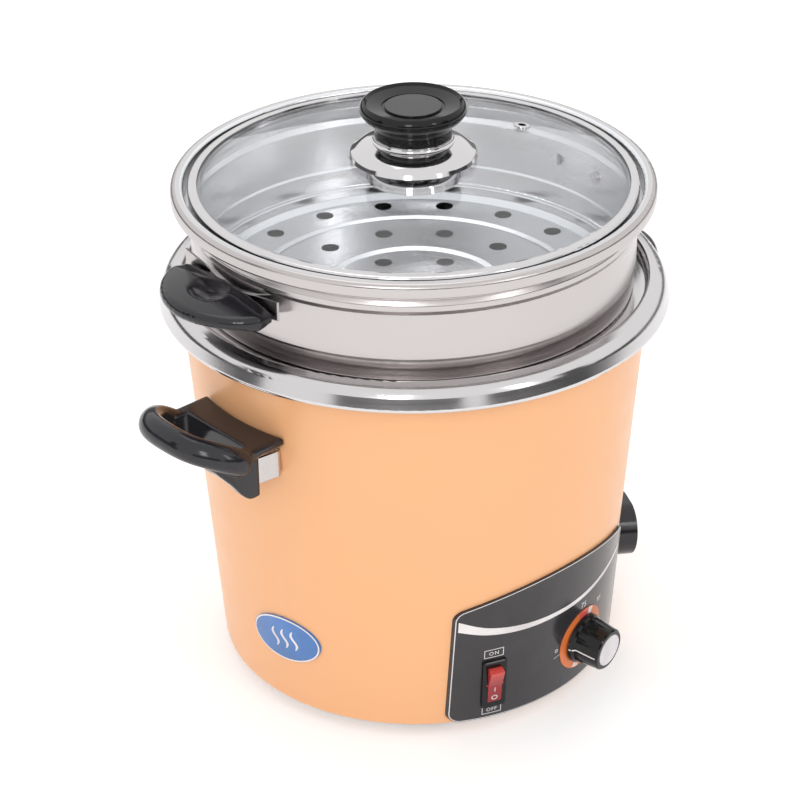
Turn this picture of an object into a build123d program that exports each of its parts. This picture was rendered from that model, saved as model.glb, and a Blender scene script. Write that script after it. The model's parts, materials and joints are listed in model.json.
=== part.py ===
from build123d import *
import os
from math import atan, cos, radians, sin, sqrt

# Electric food steamer: a painted pot on four feet, a perforated steamer basket in its mouth
# and a glass lid. Millimetres. Z = 0 is the table, +Z is up, the pot's axis is the Z axis and
# the control panel faces -Y. Headings are degrees from the front, growing towards +X.

os.makedirs("parts", exist_ok=True)

# Casing
foot_height = 8.0
casing_height = 235.5
casing_base_radius = 117.7
casing_top_radius = 134.6
casing_wall = 0.8
casing_lip = 7.0
bend_radius = 1.5

# Inner pot and its rolled flange
pot_wall = 0.8
pot_floor_z = 70.0
pot_floor_corner = 12.0
pot_gap = 10.2
pot_ledge_depth = 6.5
basket_side_gap = 0.6
pot_mouth_inset = 2.4
flange_overhang = 12.2
flange_drop = 14.5
flange_curl = 4.5

# Steamer basket
basket_wall = 0.7
basket_mouth_gap = 6.2
basket_foot_inset = 4.4
basket_floor_drop = 9.5
basket_height = 61.8
basket_step_height = 13.0
bead_height = 9.0
bead_depth = 1.9
rim_width = 6.6
rim_drop = 7.6
lid_ledge_depth = 11.5
lid_ledge_width = 3.6
hole_diameter = 10.5
inner_hole_rings = ((36.0, 6), (70.0, 12))
outer_holes = 18
outer_hole_inset = 13.6
floor_disc_radius = 48.0
floor_groove_inset = 30.6
emboss_height = 1.3
emboss_width = 6.0
basket_turn = -4.0
holes_turn = -43.0

# Lid
lid_gap = 2.4
lid_band_wall = 0.6
lid_band_overlap = 5.0
lid_band_drop = 5.6
glass_thickness = 4.0
glass_rise = 13.6
glass_flat = 6.0
disc_radius = 36.1
disc_wall = 0.8
disc_drop = 2.2
disc_rise = 5.8
disc_seat_radius = 14.0
gasket_radius = 12.0
gasket_thickness = 2.2
collar_height = 3.5
collar_flare = 1.3
knob_neck_radius = 21.7
knob_neck_height = 11.0
knob_radius = 29.2
knob_head_height = 8.6
knob_insert_radius = 15.9
cup_radius = 26.5
cup_depth = 9.5
vent_radius = 82.5
vent_turn = 87.5
vent_bore = 2.4

# Control panel
panel_thickness = 1.7
panel_half_angle = 34.5
panel_low_z = 9.6
panel_side_z = 88.5
panel_crown_z = 100.5
panel_corner = 7.0

# Rocker switch
switch_turn = -21.9
switch_z = 35.3
rocker_width = 8.5
rocker_height = 24.6
rocker_gap = 0.2
switch_side_wall = 2.05
switch_end_wall = 1.7
switch_body_depth = 20.0
bezel_side_lap = 0.9
bezel_end_lap = 2.55
bezel_thickness = 2.0
rocker_tilt = 9.7
rocker_pivot_depth = 1.0
rocker_pin_radius = 1.2

# Thermostat, dial and knob
dial_turn = 9.4
dial_z = 39.2
dial_radius = 20.1
dial_thickness = 0.5
dial_screw_spacing = 28.0
dial_screw_head = 3.0
shaft_radius = 3.0
knob_skirt_radius = 15.5
knob_skirt_height = 3.4
knob_body_radius = 12.9
knob_length = 18.6
knob_flutes = 12
knob_cap_radius = 9.8
thermostat_edge = 3.0
thermostat_height = 30.0
thermostat_depth = 24.0

# Power inlet
inlet_turn = 61.0
inlet_z = 51.0
inlet_width = 44.0
inlet_height = 34.0
inlet_proud = 14.0
inlet_wall = 2.6
inlet_depth = 17.0
pin_radius = 2.4
pin_spacing = 19.0

# Badge
badge_turn = -81.6
badge_z = 54.1
badge_half_width = 25.0
badge_half_height = 15.0
badge_thickness = 1.2
badge_tilt = 7.1

# Casing handles
handle_turns = {"left": -90.0, "right": 90.0}
handle_rim_drop = 45.5
handle_plate_thickness = 5.0
handle_half_width = 33.0
handle_leg_height = 31.0
handle_leg_depth = 5.0
loop_half_width = 31.5
loop_reach = 25.0
loop_half_shape = ((0.0, 1.0), (0.57, 0.89), (0.89, 0.57))
bar_half_width = 6.4
bar_half_height = 7.6
bar_rise = 13.0
slot_half_width = 24.5
strap_wall = 1.5
strap_height = 15.5
strap_stand_off = 12.6
strap_half_width = 30.0
strap_foot = 12.0
strap_drop = 4.0

# Basket handles
tongue_half_width = 36.2
tongue_reach = 33.6
tongue_shoulder = 2.5
tongue_root = 9.0
tongue_rim_drop = 24.7
tongue_thickness = 15.0
tongue_crown_drop = 9.5
tongue_droop = 4.5
tongue_tip = 2.8
dish_half_width = 10.0
dish_half_length = 18.5
dish_depth = 2.4
dish_reach = 15.5
dimple_half_width = 3.0
dimple_half_length = 8.0
dimple_depth = 1.0
dimple_reach = 18.5
wing_height = 11.0
wing_wall = 1.3
rivet_spacing = 34.0

# Heater
heater_radius = 72.0
heater_thickness = 6.0
element_ring_radius = 56.0
element_radius = 4.0
shield_radius = 78.0
shield_gap = 14.0

# Feet and bottom plate
foot_turns = (-39.0, 39.0, 141.0, -141.0)
foot_inset = 20.7
foot_radius = 9.5
plate_wall = 1.0
bracket_height = 24.0
bracket_width = 16.0
vent_slots = 16
vent_ring_radius = 60.0
vent_slot_length = 24.0
inner_vent_radius = 28.0
inner_vent_length = 14.0
vent_slot_width = 4.0

# Screws and clearances
screw_radius = 2.0
head_radius = 3.6
head_height = 2.4
fit_gap = 0.05
body_gap = 0.3


# Derived sizes
casing_top_z = foot_height + casing_height
casing_slope = (casing_top_radius - casing_base_radius) / casing_height
casing_lean = atan(casing_slope)
panel_radius_gain = panel_thickness + fit_gap
foot_place = casing_base_radius - foot_inset
pot_mouth_radius = casing_top_radius - pot_mouth_inset
flange_radius = casing_top_radius + flange_overhang
basket_radius = pot_mouth_radius - basket_mouth_gap
basket_foot_radius = basket_radius - basket_foot_inset
handle_top_z = casing_top_z - handle_rim_drop
window_width = rocker_width + 2 * rocker_gap
window_height = rocker_height + 2 * rocker_gap
switch_body_width = window_width + 2 * switch_side_wall
switch_body_height = window_height + 2 * switch_end_wall
thermostat_width = dial_screw_spacing + 2 * thermostat_edge
inlet_mouth_width = inlet_width - 2 * inlet_wall
inlet_mouth_height = inlet_height - 2 * inlet_wall


# Outer radius of the painted cone at a height
def casing_radius(z):
    return casing_base_radius + casing_slope * (z - foot_height)


# Horizontal unit vector pointing out at a heading
def outward(turn):
    return Vector(sin(radians(turn)), -cos(radians(turn)), 0)


# Plane lying on the cone: x runs right as seen from outside, y up, z out of the casing
def face_plane(turn, z, lift=0.0):
    out = outward(turn)
    side = Vector(cos(radians(turn)), sin(radians(turn)), 0)
    normal = out * cos(casing_lean) - Vector(0, 0, 1) * sin(casing_lean)
    seat = out * casing_radius(z) + Vector(0, 0, z)
    return Plane(origin=seat + normal * lift, x_dir=side, z_dir=normal)


# Axis along the cone's outward normal at a heading, for choosing faces and edges
def facing(turn):
    return Axis((0, 0, 0), face_plane(turn, 0).z_dir)


# Level plane at a heading: x runs out from the axis, y runs right as seen from outside
def level_plane(turn, z):
    return Plane(origin=(0, 0, z), x_dir=outward(turn), z_dir=(0, 0, 1))


# Upright plane through the axis at a heading: x runs out, y runs up
def radial_plane(turn):
    out = outward(turn)
    return Plane(origin=(0, 0, 0), x_dir=out, z_dir=out.cross(Vector(0, 0, 1)))


# Casing shell: one spun sheet with an inward lip for the bottom plate
lip_radius = casing_base_radius - casing_lip
sheet_mid = casing_wall / 2
with BuildPart() as casing:
    with BuildSketch(Plane.XZ):
        with BuildLine():
            FilletPolyline(
                (lip_radius, foot_height + sheet_mid),
                (casing_base_radius - sheet_mid, foot_height + sheet_mid),
                (casing_top_radius - sheet_mid, casing_top_z),
                radius=bend_radius,
            )
        trace(line_width=casing_wall)
    revolve(axis=Axis.Z)
    with BuildSketch(face_plane(switch_turn, switch_z, -4 * casing_wall)):
        Rectangle(switch_body_width + 2 * body_gap, switch_body_height + 2 * body_gap)
    extrude(amount=8 * casing_wall, mode=Mode.SUBTRACT)
    with BuildSketch(face_plane(dial_turn, dial_z, -4 * casing_wall)):
        Circle(shaft_radius + 3.5)
        with GridLocations(dial_screw_spacing, 0, 2, 1):
            Circle(screw_radius + body_gap)
    extrude(amount=8 * casing_wall, mode=Mode.SUBTRACT)
    with BuildSketch(face_plane(inlet_turn, inlet_z, -6 * casing_wall)):
        SlotOverall(inlet_mouth_width, inlet_mouth_height)
    extrude(amount=12 * casing_wall, mode=Mode.SUBTRACT)
casing.part.label = "casing_shell"
export_step(casing.part, "parts/casing_shell.step")

# Inner pot: conical bowl, ledge for the basket, then the broad flange curled down outside
flange_top_z = casing_top_z + 2.6
ledge_z = flange_top_z - pot_ledge_depth
pot_mouth_mid = pot_mouth_radius + pot_wall / 2
pot_wall_top = basket_foot_radius + basket_side_gap + pot_wall / 2
pot_wall_foot = casing_radius(pot_floor_z) - pot_gap
flange_mid = flange_radius - pot_wall / 2
pot_half = pot_wall / 2
with BuildPart() as pot:
    with BuildSketch(Plane.XZ):
        with BuildLine():
            FilletPolyline(
                (0, pot_floor_z),
                (pot_wall_foot, pot_floor_z),
                (pot_wall_top, ledge_z - pot_half),
                (pot_mouth_mid, ledge_z - pot_half),
                (pot_mouth_mid, flange_top_z - pot_half),
                (flange_mid - 4.0, flange_top_z - 3.0),
                (flange_mid, flange_top_z - flange_drop),
                (flange_mid - flange_curl, flange_top_z - flange_drop),
                radius=(pot_floor_corner, 0.8, 1.2, 2.2, 7.0, 2.0),
            )
        trace(line_width=pot_wall)
    revolve(axis=Axis.Z)
pot.part.label = "inner_pot"
export_step(pot.part, "parts/inner_pot.step")

# Bottom plate: pressed pan that sits on the casing's lip, vented, drilled for the feet
plate_step_radius = lip_radius - 2.0
plate_rim_radius = casing_base_radius - casing_wall - 0.8
plate_rim_z = foot_height + casing_wall + fit_gap
plate_half = plate_wall / 2
with BuildPart() as plate:
    with BuildSketch(Plane.XZ):
        with BuildLine():
            Polyline(
                (0, foot_height + plate_half),
                (plate_step_radius, foot_height + plate_half),
                (plate_step_radius + 1.2, plate_rim_z + plate_half),
                (plate_rim_radius, plate_rim_z + plate_half),
            )
        trace(line_width=plate_wall)
    revolve(axis=Axis.Z)
    with BuildSketch(Plane.XY.offset(foot_height)):
        for turn in foot_turns:
            with Locations(outward(turn) * foot_place):
                Circle(screw_radius + body_gap)
        with PolarLocations(vent_ring_radius, vent_slots):
            SlotOverall(vent_slot_length, vent_slot_width)
        with PolarLocations(inner_vent_radius, vent_slots // 2):
            SlotOverall(inner_vent_length, vent_slot_width)
    extrude(amount=plate_wall + 1.0, mode=Mode.SUBTRACT)
plate.part.label = "bottom_plate"
export_step(plate.part, "parts/bottom_plate.step")

# Rubber feet, screws up through them, and the angle brackets they pull on
with BuildPart() as feet:
    with BuildSketch(Plane.XY):
        for turn in foot_turns:
            with Locations(outward(turn) * foot_place):
                Circle(foot_radius - 1.0)
    extrude(amount=foot_height, taper=-6)
    with BuildSketch(Plane.XY):
        for turn in foot_turns:
            with Locations(outward(turn) * foot_place):
                Circle(head_radius + 0.6)
    extrude(amount=foot_height - 3.0, mode=Mode.SUBTRACT)
    with BuildSketch(Plane.XY):
        for turn in foot_turns:
            with Locations(outward(turn) * foot_place):
                Circle(screw_radius + fit_gap)
    extrude(amount=foot_height, mode=Mode.SUBTRACT)
feet.part.label = "feet"
export_step(feet.part, "parts/feet.step")

bracket_z = plate_rim_z + plate_wall + fit_gap
bracket_wall = 1.2
bracket_half = bracket_wall / 2
with BuildPart() as brackets:
    for turn in foot_turns:
        wall_low = casing_radius(bracket_z) - casing_wall - 2 * body_gap - bracket_half
        wall_high = wall_low + casing_slope * bracket_height
        with BuildSketch(radial_plane(turn)):
            with BuildLine():
                FilletPolyline(
                    (foot_place - foot_radius, bracket_z + bracket_half),
                    (wall_low, bracket_z + bracket_half),
                    (wall_high, bracket_z + bracket_height),
                    radius=bend_radius,
                )
            trace(line_width=bracket_wall)
        extrude(amount=bracket_width / 2, both=True)
    with BuildSketch(Plane.XY.offset(bracket_z)):
        for turn in foot_turns:
            with Locations(outward(turn) * foot_place):
                Circle(screw_radius + fit_gap)
    extrude(amount=bracket_wall, mode=Mode.SUBTRACT)
brackets.part.label = "foot_brackets"
export_step(brackets.part, "parts/foot_brackets.step")

foot_screw_top = bracket_z + bracket_wall + 5.0
with BuildPart() as foot_screws:
    for turn in foot_turns:
        with BuildSketch(Plane.XY.offset(foot_height - 3.0 - head_height)):
            with Locations(outward(turn) * foot_place):
                Circle(head_radius)
        extrude(amount=head_height)
        with BuildSketch(Plane.XY.offset(foot_height - 3.0)):
            with Locations(outward(turn) * foot_place):
                Circle(screw_radius)
        extrude(amount=foot_screw_top - foot_height + 3.0)
foot_screws.part.label = "foot_screws"
export_step(foot_screws.part, "parts/foot_screws.step")

# Control panel: band of the cone cut to an arched outline, countersunk for the dial screws
panel_half_width = casing_radius(50.0) * sin(radians(panel_half_angle))
dial_screw_reach = dial_screw_spacing / 2 + dial_screw_head
dial_screw_lift = panel_radius_gain - dial_screw_reach**2 / (2 * casing_radius(dial_z)) - fit_gap
dial_screw_seat = face_plane(dial_turn, dial_z, dial_screw_lift)
with BuildPart() as panel:
    with BuildSketch(Plane.XZ.offset(casing_base_radius / 2)):
        with BuildLine():
            arch = ThreePointArc(
                (-panel_half_width, panel_side_z),
                (0, panel_crown_z),
                (panel_half_width, panel_side_z),
            )
            Polyline(
                arch @ 1,
                (panel_half_width, panel_low_z),
                (-panel_half_width, panel_low_z),
                arch @ 0,
            )
        make_face()
        fillet(vertices(), panel_corner)
    extrude(amount=casing_base_radius)
    with BuildSketch(Plane.XZ):
        with BuildLine():
            Polyline(
                (casing_radius(0) + fit_gap, 0),
                (casing_radius(0) + panel_radius_gain, 0),
                (casing_radius(casing_top_z) + panel_radius_gain, casing_top_z),
                (casing_radius(casing_top_z) + fit_gap, casing_top_z),
                close=True,
            )
        make_face()
    revolve(axis=Axis.Z, mode=Mode.INTERSECT)
    with BuildSketch(face_plane(switch_turn, switch_z, -1.0)):
        Rectangle(switch_body_width + 2 * body_gap, switch_body_height + 2 * body_gap)
    extrude(amount=4 * panel_thickness, mode=Mode.SUBTRACT)
    with BuildSketch(face_plane(dial_turn, dial_z, -1.0)):
        Circle(shaft_radius + 2.4)
        with GridLocations(dial_screw_spacing, 0, 2, 1):
            Circle(screw_radius + body_gap)
    extrude(amount=4 * panel_thickness, mode=Mode.SUBTRACT)
    for depth, lean_in in ((panel_thickness, 0), (-1.6, 38)):
        with BuildSketch(dial_screw_seat):
            with GridLocations(dial_screw_spacing, 0, 2, 1):
                Circle(dial_screw_head + body_gap)
        extrude(amount=depth, taper=lean_in, mode=Mode.SUBTRACT)
panel.part.label = "control_panel"
export_step(panel.part, "parts/control_panel.step")

# Rocker switch body: flange on the panel, box behind it, pocket for the rocker, pin holes
bezel_width = switch_body_width + 2 * bezel_side_lap
bezel_height = switch_body_height + 2 * bezel_end_lap
bezel_lift = panel_radius_gain + fit_gap
bezel_face_lift = bezel_lift + bezel_thickness
pivot_lift = bezel_face_lift - rocker_pivot_depth
switch_pivot = face_plane(switch_turn, switch_z, pivot_lift)
switch_side = Plane(
    origin=switch_pivot.origin, x_dir=switch_pivot.z_dir, z_dir=-switch_pivot.x_dir
)
with BuildPart() as switch_body:
    with BuildSketch(face_plane(switch_turn, switch_z, bezel_lift)):
        RectangleRounded(bezel_width, bezel_height, 1.5)
    extrude(amount=bezel_thickness)
    chamfer(faces().sort_by(facing(switch_turn))[-1].edges(), 0.6)
    with BuildSketch(face_plane(switch_turn, switch_z, bezel_lift)):
        Rectangle(switch_body_width, switch_body_height)
    extrude(amount=-switch_body_depth)
    with BuildSketch(face_plane(switch_turn, switch_z, bezel_face_lift)):
        Rectangle(window_width, window_height)
    extrude(amount=-11.0, mode=Mode.SUBTRACT)
    with BuildSketch(switch_side):
        Circle(rocker_pin_radius + fit_gap)
    extrude(amount=rocker_width / 2 + 1.6, both=True, mode=Mode.SUBTRACT)
switch_body.part.label = "switch_body"
export_step(switch_body.part, "parts/switch_body.step")

with BuildPart() as switch_blades:
    with BuildSketch(face_plane(switch_turn, switch_z, bezel_lift - switch_body_depth)):
        with GridLocations(0, 9.0, 1, 3):
            Rectangle(4.8, 0.8)
    extrude(amount=-8.0)
switch_blades.part.label = "switch_blades"
export_step(switch_blades.part, "parts/switch_blades.step")

# Rocker: ends are arcs about its pins, its face is a shallow V, the lower half is pressed in
rocker_end = rocker_height / 2
rocker_corner = 15.3
with BuildPart() as rocker:
    with BuildSketch(switch_side):
        with BuildLine():
            upper = CenterArc((0, 0), rocker_end, 90 - rocker_corner - rocker_tilt, 34.0)
            lower = CenterArc((0, 0), rocker_end, 270 + rocker_corner - rocker_tilt, -34.0)
            Polyline(
                upper @ 0,
                (1.8 * cos(radians(rocker_tilt)), -1.8 * sin(radians(rocker_tilt))),
                lower @ 0,
            )
            Polyline(upper @ 1, (-6.0, 4.0), (-6.0, -4.0), lower @ 1)
        make_face()
    extrude(amount=rocker_width / 2, both=True)
    fillet(edges().filter_by(GeomType.CIRCLE), 0.4)
    with BuildSketch(switch_side):
        Circle(rocker_pin_radius)
    extrude(amount=rocker_width / 2 + 1.2, both=True)
rocker.part.label = "switch_rocker"
export_step(rocker.part, "parts/switch_rocker.step")

# Thermostat: body behind the casing wall, threaded nose through the panel, two screws
nose_radius = shaft_radius + 2.2
nose_top_lift = panel_radius_gain + dial_thickness
body_front_lift = -casing_wall - 1.6
shaft_bore = shaft_radius + fit_gap
with BuildPart() as thermostat:
    with BuildSketch(face_plane(dial_turn, dial_z, body_front_lift)):
        RectangleRounded(thermostat_width, thermostat_height, 3.0)
    extrude(amount=-thermostat_depth)
    with BuildSketch(face_plane(dial_turn, dial_z, body_front_lift)):
        Circle(nose_radius)
    extrude(amount=nose_top_lift - body_front_lift)
    with BuildSketch(face_plane(dial_turn, dial_z, nose_top_lift)):
        Circle(shaft_bore)
    extrude(amount=-12.0 - nose_top_lift + body_front_lift, mode=Mode.SUBTRACT)
    with BuildSketch(face_plane(dial_turn, dial_z, body_front_lift)):
        with GridLocations(dial_screw_spacing, 0, 2, 1):
            Circle(screw_radius + fit_gap)
    extrude(amount=-7.0, mode=Mode.SUBTRACT)
    with BuildSketch(face_plane(dial_turn, dial_z, body_front_lift - thermostat_depth)):
        with GridLocations(16.0, 12.0, 2, 2):
            Rectangle(6.3, 0.8)
    extrude(amount=-8.0)
thermostat.part.label = "thermostat_body"
export_step(thermostat.part, "parts/thermostat_body.step")

with BuildPart() as thermostat_screws:
    with BuildSketch(dial_screw_seat):
        with GridLocations(dial_screw_spacing, 0, 2, 1):
            Circle(dial_screw_head)
    extrude(amount=-1.5, taper=42)
    with BuildSketch(dial_screw_seat.offset(-0.5)):
        with GridLocations(dial_screw_spacing, 0, 2, 1):
            Circle(screw_radius)
    extrude(amount=-8.5)
thermostat_screws.part.label = "thermostat_screws"
export_step(thermostat_screws.part, "parts/thermostat_screws.step")

# Dial plate: thin ring bonded to the panel, curved as the panel is
dial_low_gain = panel_radius_gain + fit_gap
dial_high_gain = dial_low_gain + dial_thickness
with BuildPart() as dial:
    with BuildSketch(face_plane(dial_turn, dial_z, 2 * dial_high_gain)):
        Circle(dial_radius)
        Circle(shaft_radius + 2.4, mode=Mode.SUBTRACT)
    extrude(amount=-4 * dial_high_gain)
    with BuildSketch(Plane.XZ):
        with BuildLine():
            Polyline(
                (casing_radius(0) + dial_low_gain, 0),
                (casing_radius(0) + dial_high_gain, 0),
                (casing_radius(casing_top_z) + dial_high_gain, casing_top_z),
                (casing_radius(casing_top_z) + dial_low_gain, casing_top_z),
                close=True,
            )
        make_face()
    revolve(axis=Axis.Z, mode=Mode.INTERSECT)
dial.part.label = "dial_plate"
export_step(dial.part, "parts/dial_plate.step")

# Knob: skirt, tapered fluted body, shaft socket, and a round cap in its front
knob_lift = dial_high_gain + 0.4
knob_front_lift = knob_lift + knob_length
dial_face = face_plane(dial_turn, dial_z)
dial_side = Plane(origin=dial_face.origin, x_dir=dial_face.z_dir, z_dir=-dial_face.x_dir)
dial_axis = Axis(dial_face.origin, dial_face.z_dir)
skirt_lift = knob_lift + knob_skirt_height
with BuildPart() as knob:
    with BuildSketch(dial_side):
        with BuildLine():
            Polyline(
                (knob_lift, 0),
                (knob_lift, knob_skirt_radius),
                (skirt_lift - 1.2, knob_skirt_radius - 0.2),
                (skirt_lift, knob_body_radius + 1.1),
                (knob_front_lift - 0.9, knob_body_radius),
                (knob_front_lift, knob_body_radius - 0.9),
                (knob_front_lift, 0),
                close=True,
            )
        make_face()
    revolve(axis=dial_axis)
    with BuildSketch(face_plane(dial_turn, dial_z, skirt_lift)):
        with PolarLocations(knob_body_radius + 2.6, knob_flutes):
            Circle(2.4)
    extrude(amount=knob_length, mode=Mode.SUBTRACT)
    with BuildSketch(face_plane(dial_turn, dial_z, knob_front_lift)):
        Circle(knob_cap_radius + fit_gap)
    extrude(amount=-1.2, mode=Mode.SUBTRACT)
    with BuildSketch(face_plane(dial_turn, dial_z, knob_lift)):
        Circle(shaft_radius + fit_gap)
    extrude(amount=knob_length - 3.5, mode=Mode.SUBTRACT)
knob.part.label = "thermostat_knob"
export_step(knob.part, "parts/thermostat_knob.step")

with BuildPart() as knob_cap:
    with BuildSketch(face_plane(dial_turn, dial_z, knob_front_lift - 1.2 + fit_gap)):
        Circle(knob_cap_radius)
    extrude(amount=1.6)
    fillet(edges().group_by(facing(dial_turn))[-1], 0.3)
knob_cap.part.label = "knob_cap"
export_step(knob_cap.part, "parts/knob_cap.step")

with BuildPart() as shaft:
    with BuildSketch(face_plane(dial_turn, dial_z, body_front_lift - 10.0)):
        Circle(shaft_radius)
    extrude(amount=knob_lift - body_front_lift + knob_length + 10.0 - 4.0)
shaft.part.label = "thermostat_shaft"
export_step(shaft.part, "parts/thermostat_shaft.step")

# Power inlet: shroud standing on the casing, a box through the wall, two round pins
with BuildPart() as inlet:
    with BuildSketch(face_plane(inlet_turn, inlet_z, -4.0)):
        SlotOverall(inlet_width, inlet_height)
    extrude(amount=inlet_proud + 4.0)
    with BuildSketch(Plane.XZ):
        with BuildLine():
            Polyline(
                (0, 0),
                (casing_radius(0) + fit_gap, 0),
                (casing_radius(casing_top_z) + fit_gap, casing_top_z),
                (0, casing_top_z),
                close=True,
            )
        make_face()
    revolve(axis=Axis.Z, mode=Mode.SUBTRACT)
    with BuildSketch(face_plane(inlet_turn, inlet_z, 1.0)):
        SlotOverall(inlet_mouth_width - 2 * body_gap, inlet_mouth_height - 2 * body_gap)
    extrude(amount=-inlet_depth - 1.0)
    with BuildSketch(face_plane(inlet_turn, inlet_z, inlet_proud)):
        SlotOverall(inlet_mouth_width - 2.0, inlet_mouth_height - 2.0)
    extrude(amount=-inlet_proud - 4.0, mode=Mode.SUBTRACT)
    with BuildSketch(face_plane(inlet_turn, inlet_z, -inlet_depth - 1.0)):
        with GridLocations(pin_spacing, 0, 2, 1):
            Circle(pin_radius + fit_gap)
    extrude(amount=inlet_depth, mode=Mode.SUBTRACT)
inlet.part.label = "power_inlet"
export_step(inlet.part, "parts/power_inlet.step")

with BuildPart() as inlet_pins:
    with BuildSketch(face_plane(inlet_turn, inlet_z, -inlet_depth - 6.0)):
        with GridLocations(pin_spacing, 0, 2, 1):
            Circle(pin_radius)
    extrude(amount=inlet_depth + 6.0 + inlet_proud - 2.5)
    fillet(edges().group_by(facing(inlet_turn))[-1], 1.2)
inlet_pins.part.label = "inlet_pins"
export_step(inlet_pins.part, "parts/inlet_pins.step")

# Badge: thin oval bent to the cone
with BuildPart() as badge:
    with BuildSketch(face_plane(badge_turn, badge_z, 4.0)):
        Ellipse(badge_half_width, badge_half_height, rotation=badge_tilt)
    extrude(amount=-9.0)
    with BuildSketch(Plane.XZ):
        with BuildLine():
            Polyline(
                (casing_radius(0) + fit_gap, 0),
                (casing_radius(0) + badge_thickness, 0),
                (casing_radius(casing_top_z) + badge_thickness, casing_top_z),
                (casing_radius(casing_top_z) + fit_gap, casing_top_z),
                close=True,
            )
        make_face()
    revolve(axis=Axis.Z, mode=Mode.INTERSECT)
badge.part.label = "badge"
export_step(badge.part, "parts/badge.step")

# Casing handles: a bent steel strap on the casing, and a grip with a finger slot
strap_z = handle_top_z - handle_plate_thickness - strap_drop - strap_height
strap_mid_radius = casing_radius(strap_z + strap_height / 2) + strap_wall / 2 + fit_gap
strap_face = strap_mid_radius + strap_stand_off
grip_back = strap_face + strap_wall / 2 + fit_gap
plate_back = casing_radius(handle_top_z) + 2 * body_gap
plate_low_z = handle_top_z - handle_plate_thickness
leg_low_z = handle_top_z - handle_leg_height
slot_back = grip_back + handle_leg_depth
loop_root = slot_back + bar_half_width
loop_quarter = [
    (loop_root + out * loop_reach, across * loop_half_width) for out, across in loop_half_shape
]
loop_points = [
    *[(x, -y) for x, y in loop_quarter],
    (loop_root + loop_reach, 0.0),
    *reversed(loop_quarter),
]
rim_swell = 0.7 * bar_half_width
rim_points = [(x + rim_swell * (1 - abs(y) / loop_half_width), y) for x, y in loop_points]
slot_points = [(x - bar_half_width, y * slot_half_width / loop_half_width) for x, y in loop_points]
bar_root_z = handle_top_z - bar_half_height * 0.75
handle_screw_z = strap_z + strap_height / 2
handle_screw_spacing = 40.0
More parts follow.
